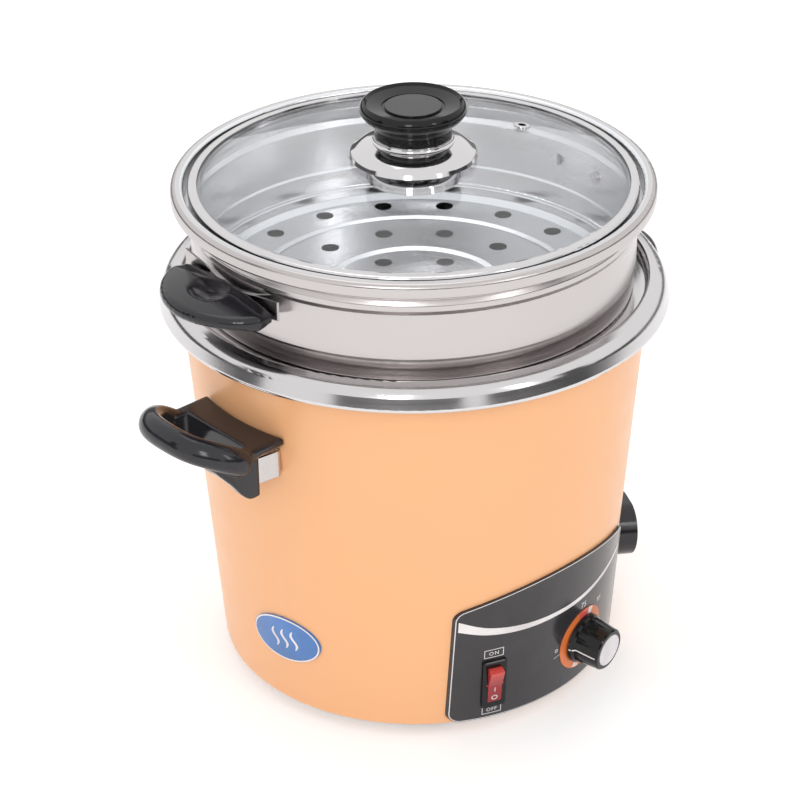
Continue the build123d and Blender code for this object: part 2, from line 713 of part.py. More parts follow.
for side, turn in handle_turns.items():
    with BuildPart() as strap:
        with BuildSketch(level_plane(turn, strap_z)):
            foot_in = strap_half_width - strap_foot
            with BuildLine():
                FilletPolyline(
                    (sqrt(strap_mid_radius**2 - foot_in**2), -foot_in),
                    (sqrt(strap_mid_radius**2 - strap_half_width**2), -strap_half_width),
                    (strap_face, -strap_half_width + 2.0),
                    (strap_face, strap_half_width - 2.0),
                    (sqrt(strap_mid_radius**2 - strap_half_width**2), strap_half_width),
                    (sqrt(strap_mid_radius**2 - foot_in**2), foot_in),
                    radius=bend_radius + strap_wall / 2,
                )
            trace(line_width=strap_wall)
        extrude(amount=strap_height)
        with BuildSketch(Plane.XZ):
            with BuildLine():
                Polyline(
                    (0, 0),
                    (casing_radius(0), 0),
                    (casing_radius(casing_top_z), casing_top_z),
                    (0, casing_top_z),
                    close=True,
                )
            make_face()
        revolve(axis=Axis.Z, mode=Mode.SUBTRACT)
        strap_front = level_plane(turn, handle_screw_z)
        with BuildSketch(Plane(strap_front.origin, x_dir=strap_front.y_dir, z_dir=strap_front.x_dir)):
            with GridLocations(handle_screw_spacing, 0, 2, 1):
                Circle(screw_radius + body_gap)
        extrude(amount=grip_back, mode=Mode.SUBTRACT)
    strap.part.label = f"handle_strap_{side}"
    export_step(strap.part, f"parts/handle_strap_{side}.step")

    with BuildPart() as grip:
        with BuildSketch(radial_plane(turn)):
            with BuildLine():
                sweep_line = Spline(
                    (grip_back + handle_leg_depth, leg_low_z),
                    (loop_root + 0.25 * loop_reach, (leg_low_z + bar_root_z) / 2),
                    (loop_root + 0.6 * loop_reach, bar_root_z - 2.0),
                    tangents=((1, 0.35), (0.7, 1)),
                )
                Polyline(
                    sweep_line @ 1,
                    (loop_root + 0.6 * loop_reach, plate_low_z + 1.0),
                    (grip_back, plate_low_z + 1.0),
                    (grip_back, leg_low_z),
                    (grip_back + handle_leg_depth, leg_low_z),
                )
            make_face()
        extrude(amount=loop_half_width, both=True)
        with BuildSketch(level_plane(turn, leg_low_z)):
            with BuildLine():
                rim = Spline(*rim_points)
                Polyline(rim @ 1, (grip_back, loop_half_width), (grip_back, -loop_half_width), rim @ 0)
            make_face()
        extrude(amount=handle_leg_height, mode=Mode.INTERSECT)
        fillet(grip.faces().sort_by(Axis.Z)[0].edges(), 1.5)
        with BuildSketch(level_plane(turn, plate_low_z)):
            with BuildLine():
                back = ThreePointArc(
                    (sqrt(plate_back**2 - handle_half_width**2), -handle_half_width),
                    (plate_back, 0),
                    (sqrt(plate_back**2 - handle_half_width**2), handle_half_width),
                )
                FilletPolyline(
                    back @ 1,
                    (loop_root, handle_half_width),
                    (loop_root, -handle_half_width),
                    back @ 0,
                    radius=4.0,
                )
            make_face()
        extrude(amount=handle_plate_thickness)
        fillet(grip.faces().sort_by(Axis.Z)[-1].edges(), 1.8)
        with BuildLine() as bar_path:
            Spline(
                *[
                    level_plane(turn, 0).from_local_coords(
                        Vector(x, y, bar_root_z + bar_rise * ((x - loop_root) / loop_reach) ** 0.7)
                    )
                    for x, y in loop_points
                ]
            )
        with BuildSketch(Plane(bar_path.line @ 0, x_dir=(0, 0, 1), z_dir=bar_path.line % 0)):
            Ellipse(bar_half_height, bar_half_width)
        sweep()
        with BuildSketch(level_plane(turn, leg_low_z)):
            with BuildLine():
                hole = Spline(*slot_points)
                Line(hole @ 1, hole @ 0)
            make_face()
        extrude(amount=bar_rise + handle_leg_height + bar_half_height, mode=Mode.SUBTRACT)
        with BuildSketch(Plane(strap_front.origin, x_dir=strap_front.y_dir, z_dir=strap_front.x_dir)):
            with GridLocations(handle_screw_spacing, 0, 2, 1):
                Circle(screw_radius + fit_gap)
        extrude(amount=slot_back + handle_leg_depth, mode=Mode.SUBTRACT)
    grip.part.label = f"handle_grip_{side}"
    export_step(grip.part, f"parts/handle_grip_{side}.step")

# Handle screws: heads inside each strap, shanks into the grip
with BuildPart() as handle_screws:
    for turn in handle_turns.values():
        front = level_plane(turn, handle_screw_z)
        seat = Plane(front.origin, x_dir=front.y_dir, z_dir=front.x_dir).offset(strap_face - strap_wall / 2)
        with BuildSketch(seat.offset(-fit_gap)):
            with GridLocations(handle_screw_spacing, 0, 2, 1):
                Circle(head_radius)
        extrude(amount=-head_height)
        with BuildSketch(seat.offset(-fit_gap)):
            with GridLocations(handle_screw_spacing, 0, 2, 1):
                Circle(screw_radius)
        extrude(amount=strap_wall + handle_leg_depth - 2.0)
handle_screws.part.label = "handle_screws"
export_step(handle_screws.part, "parts/handle_screws.step")

# Heater: cast plate under the pot, ring element, shield, clamp stud and nut, fuse
heater_top_z = pot_floor_z - pot_wall / 2 - fit_gap
heater_low_z = heater_top_z - heater_thickness
element_z = heater_low_z - element_radius - fit_gap
shield_z = heater_low_z - shield_gap
element_gap_angle = 60.0
element_ends = [
    Vector(element_ring_radius, 0, 0).rotate(Axis.Z, angle) for angle in (0.0, -element_gap_angle)
]
with BuildPart() as heating_plate:
    with BuildSketch(Plane.XY.offset(heater_low_z)):
        Circle(heater_radius)
    extrude(amount=heater_thickness)
    chamfer(faces().sort_by(Axis.Z)[0].edges(), 1.5)
heating_plate.part.label = "heating_plate"
export_step(heating_plate.part, "parts/heating_plate.step")

with BuildPart() as element:
    with BuildSketch(Plane.XZ):
        with Locations((element_ring_radius, element_z)):
            Circle(element_radius)
    revolve(axis=Axis.Z, revolution_arc=360.0 - element_gap_angle)
    with BuildSketch(Plane.XY.offset(element_z)):
        with Locations(*element_ends):
            Circle(2.0)
    extrude(amount=-14.0)
element.part.label = "heating_element"
export_step(element.part, "parts/heating_element.step")

with BuildPart() as shield:
    with BuildSketch(Plane.XZ):
        with BuildLine():
            FilletPolyline(
                (0, shield_z), (shield_radius - 6.0, shield_z), (shield_radius, shield_z + 9.0), radius=3.0
            )
        trace(line_width=casing_wall)
    revolve(axis=Axis.Z)
    with BuildSketch(Plane.XY.offset(shield_z - 2.0)):
        Circle(3.0 + body_gap)
        with Locations(*element_ends):
            Circle(4.0)
    extrude(amount=4.0, mode=Mode.SUBTRACT)
shield.part.label = "heat_shield"
export_step(shield.part, "parts/heat_shield.step")

with BuildPart() as stud:
    with BuildSketch(Plane.XY.offset(heater_low_z - fit_gap)):
        Circle(8.0)
    extrude(amount=-3.0)
    with BuildSketch(Plane.XY.offset(heater_low_z - 3.0)):
        Circle(3.0)
    extrude(amount=-shield_gap - 5.0)
stud.part.label = "clamp_stud"
export_step(stud.part, "parts/clamp_stud.step")

with BuildPart() as nut:
    with BuildSketch(Plane.XY.offset(shield_z - casing_wall / 2 - fit_gap)):
        RegularPolygon(5.5, 6)
        Circle(3.0 + fit_gap, mode=Mode.SUBTRACT)
    extrude(amount=-5.0)
nut.part.label = "clamp_nut"
export_step(nut.part, "parts/clamp_nut.step")

# Steamer basket: one spun sheet from the embossed floor up over two ledges to the rolled rim
basket_half = basket_wall / 2
basket_mid = basket_radius - basket_half
basket_foot_mid = basket_foot_radius - basket_half
basket_step_mid = basket_mid - 1.0
basket_ledge_z = ledge_z + body_gap + basket_half
basket_floor_z = basket_ledge_z - basket_floor_drop
rim_top_z = basket_ledge_z + basket_height - basket_half
step_z = basket_ledge_z + basket_step_height
lid_ledge_z = rim_top_z - lid_ledge_depth
bead_low_z = lid_ledge_z - bead_height - 1.5
rim_inner = basket_mid + lid_ledge_width
floor_groove_radius = basket_foot_radius - floor_groove_inset
groove_low = floor_groove_radius - emboss_width / 2
groove_high = floor_groove_radius + emboss_width / 2
hole_rings = (*inner_hole_rings, (basket_foot_radius - outer_hole_inset, outer_holes))
tongue_top_z = rim_top_z - tongue_rim_drop
basket_handle_turns = {"left": basket_turn - 90.0, "right": basket_turn + 90.0}
rivet_z = tongue_top_z - tongue_thickness / 2 - 1.0


# Upright plane through the axis whose normal points out at a basket handle
def rivet_plane(turn):
    level = level_plane(turn, rivet_z)
    return Plane(level.origin, x_dir=level.y_dir, z_dir=level.x_dir)


with BuildPart() as basket:
    with BuildSketch(Plane.XZ):
        with BuildLine():
            FilletPolyline(
                (0, basket_floor_z),
                (floor_disc_radius, basket_floor_z),
                (floor_disc_radius + emboss_width / 2, basket_floor_z + emboss_height),
                (groove_low, basket_floor_z + emboss_height),
                (floor_groove_radius, basket_floor_z),
                (groove_high, basket_floor_z + emboss_height),
                (basket_foot_mid - 4.0, basket_floor_z + emboss_height),
                (basket_foot_mid, basket_floor_z + 4.5),
                (basket_foot_mid, basket_ledge_z),
                (basket_step_mid, basket_ledge_z),
                (basket_step_mid, step_z - 1.5),
                (basket_mid, step_z),
                (basket_mid, bead_low_z),
                (basket_mid + bead_depth, bead_low_z + 0.35 * bead_height),
                (basket_mid + bead_depth, bead_low_z + 0.65 * bead_height),
                (basket_mid, bead_low_z + bead_height),
                (basket_mid, lid_ledge_z),
                (rim_inner, lid_ledge_z),
                (rim_inner, rim_top_z),
                (rim_inner + rim_width, rim_top_z),
                (rim_inner + rim_width, rim_top_z - rim_drop),
                (rim_inner + rim_width - 2.4, rim_top_z - rim_drop),
                radius=(1, 1, 1, 1, 1, 1.2, 1.2, 0.6, 1, 0.8, 0.8, 1, 1.6, 1.6, 1, 0.5, 0.6, 1.6, 2.6, 1.1),
            )
        trace(line_width=basket_wall)
    revolve(axis=Axis.Z)
    with BuildSketch(Plane.XY.offset(basket_floor_z - 2.0)):
        for ring_radius, holes in hole_rings:
            with PolarLocations(ring_radius, holes, start_angle=holes_turn - 90.0 + 180.0 / holes):
                Circle(hole_diameter / 2)
    extrude(amount=6.0, mode=Mode.SUBTRACT)
    for turn in basket_handle_turns.values():
        with BuildSketch(rivet_plane(turn)):
            with GridLocations(rivet_spacing, 0, 2, 1):
                Circle(screw_radius + fit_gap)
        extrude(amount=basket_radius, mode=Mode.SUBTRACT)
basket.part.label = "steamer_basket"
export_step(basket.part, "parts/steamer_basket.step")

# Basket handles: a strap that leaves the wall at its ends, and a dished tongue
wing_seat = basket_radius + fit_gap + wing_wall / 2
wing_end = tongue_half_width + 1.8
wing_low_z = rivet_z - wing_height / 2
tongue_back = wing_seat + wing_wall / 2 + fit_gap + 0.3
tongue_low_z = tongue_top_z - tongue_thickness
tongue_tip_radius = tongue_back + tongue_reach
crown_z = tongue_top_z + tongue_droop * tongue_back / tongue_reach
dish_place = tongue_back + dish_reach
dimple_place = tongue_back + dimple_reach
dish_floor_z = tongue_top_z - tongue_droop * dish_reach / tongue_reach - dish_depth
dimple_floor_z = dish_floor_z - dimple_depth
scoops = (
    (dish_place, dish_half_width, dish_half_length, dish_depth, dish_floor_z),
    (dimple_place, dimple_half_width, dimple_half_length, dimple_depth, dimple_floor_z),
)
for side, turn in basket_handle_turns.items():
    with BuildPart() as wing:
        with BuildSketch(level_plane(turn, wing_low_z)):
            hug = 20.0
            hug_depth = sqrt(wing_seat**2 - hug**2)
            with BuildLine():
                middle = ThreePointArc((hug_depth, -hug), (wing_seat, 0), (hug_depth, hug))
                Line(middle @ 1, (wing_seat - 0.4, wing_end))
                Line(middle @ 0, (wing_seat - 0.4, -wing_end))
            trace(line_width=wing_wall)
        extrude(amount=wing_height)
        with BuildSketch(rivet_plane(turn)):
            with GridLocations(rivet_spacing, 0, 2, 1):
                Circle(screw_radius + fit_gap)
        extrude(amount=2 * basket_radius, mode=Mode.SUBTRACT)
    wing.part.label = f"basket_strap_{side}"
    export_step(wing.part, f"parts/basket_strap_{side}.step")

    with BuildPart() as tongue:
        with BuildSketch(level_plane(turn, tongue_low_z)):
            with BuildLine():
                nose = EllipticalCenterArc(
                    (tongue_back + tongue_shoulder, 0),
                    tongue_reach - tongue_shoulder,
                    tongue_half_width,
                    start_angle=-90,
                    arc_size=180,
                )
                Polyline(
                    nose @ 1,
                    (tongue_back, tongue_half_width),
                    (tongue_back, -tongue_half_width),
                    nose @ 0,
                )
            make_face()
        extrude(amount=tongue_thickness)
        front = level_plane(turn, 0)
        with BuildSketch(Plane(front.origin, x_dir=front.y_dir, z_dir=front.x_dir)):
            with BuildLine():
                crown = ThreePointArc(
                    (-tongue_half_width, crown_z - tongue_crown_drop),
                    (0, crown_z),
                    (tongue_half_width, crown_z - tongue_crown_drop),
                )
                Polyline(
                    crown @ 1,
                    (tongue_half_width, 0),
                    (-tongue_half_width, 0),
                    crown @ 0,
                )
            make_face()
        droop = front.x_dir * tongue_reach - Vector(0, 0, tongue_droop)
        extrude(amount=2 * basket_radius, dir=droop.normalized(), mode=Mode.INTERSECT)
        with BuildSketch(radial_plane(turn)):
            with BuildLine():
                Polyline(
                    (tongue_back - 1.0, tongue_top_z + 1.0),
                    (tongue_tip_radius + 1.0, tongue_top_z + 1.0),
                    (tongue_tip_radius + 1.0, tongue_top_z - tongue_droop - tongue_tip),
                    (tongue_back + tongue_root, tongue_low_z),
                    (tongue_back - 1.0, tongue_low_z),
                    close=True,
                )
            make_face()
        extrude(amount=tongue_half_width, both=True, mode=Mode.INTERSECT)
        for place, width, length, depth, floor_z in scoops:
            ball = (width**2 + depth**2) / (2 * depth)
            stretch = length / width
            scoop_plane = level_plane(turn, floor_z + ball)
            with BuildSketch(scoop_plane):
                with BuildLine():
                    scoop = EllipticalCenterArc(
                        (place, 0), ball, ball * stretch, start_angle=-90, arc_size=180
                    )
                    Line(scoop @ 1, scoop @ 0)
                make_face()
            scoop_centre = scoop_plane.from_local_coords(Vector(place, 0, 0))
            revolve(axis=Axis(scoop_centre, scoop_plane.y_dir), mode=Mode.SUBTRACT)
        with BuildSketch(rivet_plane(turn)):
            with GridLocations(rivet_spacing, 0, 2, 1):
                Circle(screw_radius + fit_gap)
        extrude(amount=tongue_back + 8.0, mode=Mode.SUBTRACT)
    tongue.part.label = f"basket_grip_{side}"
    export_step(tongue.part, f"parts/basket_grip_{side}.step")

with BuildPart() as rivets:
    for turn in basket_handle_turns.values():
        rivet_wall = sqrt((basket_radius - basket_wall) ** 2 - (rivet_spacing / 2) ** 2)
        seat = rivet_plane(turn).offset(rivet_wall - 0.6)
        with BuildSketch(seat):
            with GridLocations(rivet_spacing, 0, 2, 1):
                Circle(head_radius)
        extrude(amount=-1.8, taper=20)
        with BuildSketch(seat):
            with GridLocations(rivet_spacing, 0, 2, 1):
                Circle(screw_radius)
        extrude(amount=tongue_back + 7.0 - rivet_wall)
rivets.part.label = "basket_handle_screws"
export_step(rivets.part, "parts/basket_handle_screws.step")

# Lid: tempered glass dome with a flat edge, bored for the knob screw and the vent
lid_seat_z = lid_ledge_z + basket_half + body_gap
lid_radius = rim_inner - basket_half - lid_gap
band_mid = lid_radius - lid_band_wall / 2
glass_radius = lid_radius - lid_band_wall - body_gap
glass_low_z = lid_seat_z + lid_band_drop + lid_band_wall + fit_gap
glass_edge_top_z = glass_low_z + glass_thickness
glass_crown_z = glass_edge_top_z + glass_rise
dome_foot = glass_radius - glass_flat
screw_bore = 3.0
dome_curve = (dome_foot**2 + glass_rise**2) / (2 * glass_rise)
dome_centre = Vector(0, 0, glass_crown_z - dome_curve)
vent_rise = sqrt(dome_curve**2 - vent_radius**2)
vent_spot = dome_centre + outward(vent_turn) * vent_radius + Vector(0, 0, vent_rise)
vent_plane = Plane(origin=vent_spot, z_dir=vent_spot - dome_centre)
with BuildPart() as glass:
    with BuildSketch(Plane.XZ):
        with BuildLine():
            top = TangentArc((0, glass_crown_z), (dome_foot, glass_edge_top_z), tangent=(1, 0))
            low = TangentArc(
                (0, glass_crown_z - glass_thickness), (dome_foot, glass_low_z), tangent=(1, 0)
            )
            Polyline(top @ 1, (glass_radius, glass_edge_top_z), (glass_radius, glass_low_z), low @ 1)
            Line(top @ 0, low @ 0)
        make_face()
        fillet(vertices().group_by(Axis.X)[-1], 1.2)
    revolve(axis=Axis.Z)
    with BuildSketch(Plane.XY.offset(glass_low_z)):
        Circle(screw_bore)
    extrude(amount=2 * glass_rise, mode=Mode.SUBTRACT)
    with BuildSketch(vent_plane.offset(1.0)):
        Circle(vent_bore + 1.0)
    extrude(amount=-glass_thickness - 3.0, mode=Mode.SUBTRACT)
glass.part.label = "lid_glass"
export_step(glass.part, "parts/lid_glass.step")

# Lid band: strip folded over the glass edge, hemmed at the bottom, turned in under the glass
band_top_z = glass_edge_top_z + fit_gap + lid_band_wall / 2
band_low_z = lid_seat_z + lid_band_wall / 2
band_under_z = glass_low_z - fit_gap - lid_band_wall / 2
band_inner = lid_radius - lid_band_overlap
with BuildPart() as band:
    with BuildSketch(Plane.XZ):
        with BuildLine():
            FilletPolyline(
                (band_inner, band_top_z),
                (band_mid, band_top_z),
                (band_mid, band_low_z),
                (band_mid - 1.8, band_low_z),
                (band_mid - 1.8, band_under_z),
                (band_inner, band_under_z),
                radius=(1.2, 0.7, 0.7, 0.7),
            )
        trace(line_width=lid_band_wall)
    revolve(axis=Axis.Z)
band.part.label = "lid_band"
export_step(band.part, "parts/lid_band.step")

# Gaskets above and below the glass, and the cup that clamps from underneath
gasket_low_z = glass_crown_z + fit_gap
gasket_top_z = gasket_low_z + gasket_thickness
cup_top_z = glass_crown_z - glass_thickness - 1.2
with BuildPart() as gaskets:
    with BuildSketch(Plane.XY.offset(gasket_low_z)):
        Circle(gasket_radius)
        Circle(screw_bore, mode=Mode.SUBTRACT)
    extrude(amount=gasket_thickness)
    with BuildSketch(Plane.XY.offset(cup_top_z + fit_gap)):
        Circle(gasket_radius)
        Circle(screw_bore, mode=Mode.SUBTRACT)
    extrude(amount=0.8)
gaskets.part.label = "lid_gaskets"
export_step(gaskets.part, "parts/lid_gaskets.step")

cup_mid_z = cup_top_z - disc_wall / 2
with BuildPart() as cup:
    with BuildSketch(Plane.XZ):
        with BuildLine():
            FilletPolyline(
                (screw_bore, cup_mid_z),
                (gasket_radius + 2.0, cup_mid_z),
                (cup_radius - 2.0, cup_mid_z - 0.55 * cup_depth),
                (cup_radius - disc_wall / 2, cup_mid_z - cup_depth),
                radius=(2.0, 3.0),
            )
        trace(line_width=disc_wall)
    revolve(axis=Axis.Z)
cup.part.label = "lid_under_cup"
export_step(cup.part, "parts/lid_under_cup.step")

# Chrome disc over the glass, with a stepped, turned-down edge
disc_mid_z = gasket_top_z + fit_gap + disc_wall / 2
disc_crown_z = disc_mid_z + disc_rise
with BuildPart() as disc:
    with BuildSketch(Plane.XZ):
        with BuildLine():
            FilletPolyline(
                (screw_bore, disc_mid_z),
                (disc_seat_radius, disc_mid_z),
                (disc_seat_radius + 4.0, disc_crown_z),
                (knob_neck_radius + 1.0, disc_crown_z),
                (disc_radius - 6.1, disc_mid_z + 0.6 * disc_rise),
                (disc_radius - 1.2, disc_mid_z),
                (disc_radius - disc_wall / 2, disc_mid_z - disc_drop),
                radius=(1.2, 1.2, 5.0, 16.0, 0.8),
            )
        trace(line_width=disc_wall)
    revolve(axis=Axis.Z)
disc.part.label = "lid_disc"
export_step(disc.part, "parts/lid_disc.step")

# Chrome collar around the knob's stem
collar_z = disc_crown_z + disc_wall / 2 + fit_gap
collar_bore = knob_neck_radius - 1.2
with BuildPart() as collar:
    with BuildSketch(Plane.XZ):
        with BuildLine():
            flank = ThreePointArc(
                (knob_neck_radius + collar_flare, collar_z + 0.6),
                (knob_neck_radius + 0.35 * collar_flare, collar_z + 0.35 * collar_height),
                (knob_neck_radius, collar_z + collar_height),
            )
            Polyline(
                flank @ 1,
                (collar_bore, collar_z + collar_height),
                (collar_bore, collar_z),
                (knob_neck_radius + collar_flare - 0.3, collar_z),
                flank @ 0,
            )
        make_face()
    revolve(axis=Axis.Z)
collar.part.label = "knob_collar"
export_step(collar.part, "parts/knob_collar.step")

# Knob: stem inside the collar, waisted neck, wide dished head with a raised lip
neck_z = collar_z + collar_height + fit_gap
head_z = neck_z + knob_neck_height
knob_top_z = head_z + knob_head_height
dish_radius = knob_radius - 3.3
groove_radius = knob_insert_radius + 1.9
insert_seat_z = knob_top_z - 3.6
with BuildPart() as lid_knob:
    with BuildSketch(Plane.XZ):
        with BuildLine():
            Polyline(
                (0, collar_z + 2 * fit_gap),
                (collar_bore - fit_gap, collar_z + 2 * fit_gap),
                (collar_bore - fit_gap, neck_z),
                (knob_neck_radius, neck_z),
            )
            Spline(
                (knob_neck_radius, neck_z),
                (knob_neck_radius + 0.6, neck_z + 0.55 * knob_neck_height),
                (knob_radius, head_z + 0.25 * knob_head_height),
                tangents=((0, 1), (0.6, 1)),
            )
            lip = ThreePointArc(
                (knob_radius, head_z + 0.25 * knob_head_height),
                (knob_radius - 0.5, knob_top_z - 1.0),
                (knob_radius - 1.9, knob_top_z),
            )
            Polyline(
                lip @ 1,
                (dish_radius, knob_top_z - 1.6),
                (groove_radius, knob_top_z - 3.0),
                (groove_radius, insert_seat_z),
                (0, insert_seat_z),
                (0, collar_z + 2 * fit_gap),
            )
        make_face()
    revolve(axis=Axis.Z)
    with BuildSketch(Plane.XY.offset(collar_z)):
        Circle(screw_radius + 0.5 + fit_gap)
    extrude(amount=neck_z - collar_z + 6.0, mode=Mode.SUBTRACT)
lid_knob.part.label = "lid_knob"
export_step(lid_knob.part, "parts/lid_knob.step")

with BuildPart() as insert:
    with BuildSketch(Plane.XY.offset(insert_seat_z + fit_gap)):
        Circle(knob_insert_radius)
    extrude(amount=1.2)
    fillet(edges().sort_by(Axis.Z)[-1], 0.4)
insert.part.label = "knob_insert"
export_step(insert.part, "parts/knob_insert.step")

# Lid screw from below, through cup, glass and disc into the knob
with BuildPart() as lid_screw:
    with BuildSketch(Plane.XY.offset(cup_mid_z - disc_wall / 2 - fit_gap)):
        Circle(head_radius + 1.4)
    extrude(amount=-head_height - 0.6)
    fillet(edges().sort_by(Axis.Z)[0], 1.2)
    with BuildSketch(Plane.XY.offset(cup_mid_z - disc_wall / 2 - fit_gap)):
        Circle(screw_radius + 0.5)
    extrude(amount=neck_z + 5.0 - cup_mid_z)
lid_screw.part.label = "lid_screw"
export_step(lid_screw.part, "parts/lid_screw.step")

# Steam vent eyelet: a flanged tube through the glass
with BuildPart() as eyelet:
    with BuildSketch(vent_plane.offset(2 * fit_gap)):
        Circle(vent_bore + 2.4)
    extrude(amount=0.8)
    fillet(edges().group_by(Axis(vent_spot, vent_plane.z_dir))[-1], 0.4)
    with BuildSketch(vent_plane.offset(-glass_thickness - 1.2)):
        Circle(vent_bore + 1.0 - fit_gap)
    extrude(amount=glass_thickness + 1.6)
    with BuildSketch(vent_plane.offset(3.0)):
        Circle(vent_bore)
    extrude(amount=-glass_thickness - 6.0, mode=Mode.SUBTRACT)
eyelet.part.label = "vent_eyelet"
export_step(eyelet.part, "parts/vent_eyelet.step")
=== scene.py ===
# Electric food steamer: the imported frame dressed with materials, printed marks and studio light
import json
import math
import bmesh
import bpy
from mathutils import Matrix, Vector
from mathutils.bvhtree import BVHTree


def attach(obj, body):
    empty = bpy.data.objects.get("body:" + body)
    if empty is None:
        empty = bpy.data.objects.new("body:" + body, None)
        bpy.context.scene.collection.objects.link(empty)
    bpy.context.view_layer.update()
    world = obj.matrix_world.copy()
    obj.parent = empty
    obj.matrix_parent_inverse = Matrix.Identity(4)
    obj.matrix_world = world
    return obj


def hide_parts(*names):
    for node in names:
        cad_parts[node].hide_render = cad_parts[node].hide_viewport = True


bpy.context.scene.view_settings.view_transform = "Standard"
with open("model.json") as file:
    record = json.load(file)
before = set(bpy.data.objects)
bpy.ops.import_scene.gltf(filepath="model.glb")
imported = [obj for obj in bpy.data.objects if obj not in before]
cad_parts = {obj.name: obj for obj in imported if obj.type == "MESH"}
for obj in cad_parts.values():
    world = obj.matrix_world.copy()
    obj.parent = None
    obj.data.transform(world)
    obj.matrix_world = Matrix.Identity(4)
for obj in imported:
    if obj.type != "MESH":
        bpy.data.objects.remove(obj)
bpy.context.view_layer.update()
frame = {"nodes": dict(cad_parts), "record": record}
nodes = frame["nodes"]
mm = 0.001


def addObject(name, data):
    item = bpy.data.objects.new(name, data)
    bpy.context.scene.collection.objects.link(item)
    return item


# Evenly spaced values from start to end, both included
def spaced(start, end, count):
    return [start + (end - start) * i / count for i in range(count + 1)]


print("stage: camera")

# Degrees and metres, aimed at a point on the steamer's axis
camera = {
    "azimuth": -43.0, "elevation": 29.507, "distance": 1.41043, "aimZ": 0.1652267, "roll": -0.4,
    "lens": 108.0, "sensor": 36.0, "shiftX": -0.0189, "shiftY": -0.0150, "farClip": 30.0,
}


def makeCamera():
    data = bpy.data.cameras.new("camera")
    data.lens = camera["lens"]
    data.sensor_width = camera["sensor"]
    data.shift_x = camera["shiftX"]
    data.shift_y = camera["shiftY"]
    data.clip_end = camera["farClip"]
    rig = addObject("camera", data)
    azimuth = math.radians(camera["azimuth"])
    elevation = math.radians(camera["elevation"])
    flat = math.cos(elevation)
    away = Vector((math.sin(azimuth) * flat, -math.cos(azimuth) * flat, math.sin(elevation)))
    aim = Vector((0, 0, camera["aimZ"]))
    rig.location = aim + away * camera["distance"]
    facing = (aim - rig.location).to_track_quat("-Z", "Y").to_matrix().to_4x4()
    roll = Matrix.Rotation(math.radians(camera["roll"]), 4, "Z")
    rig.matrix_world = Matrix.Translation(rig.location) @ facing @ roll
    bpy.context.scene.camera = rig


makeCamera()

print("stage: materials")

# Shader sockets under plain names
socketOf = {
    "anisotropic": "Anisotropic", "coat": "Coat Weight", "coatRoughness": "Coat Roughness", "ior": "IOR",
    "transmission": "Transmission Weight", "subsurface": "Subsurface Weight",
    "subsurfaceScale": "Subsurface Scale",
}


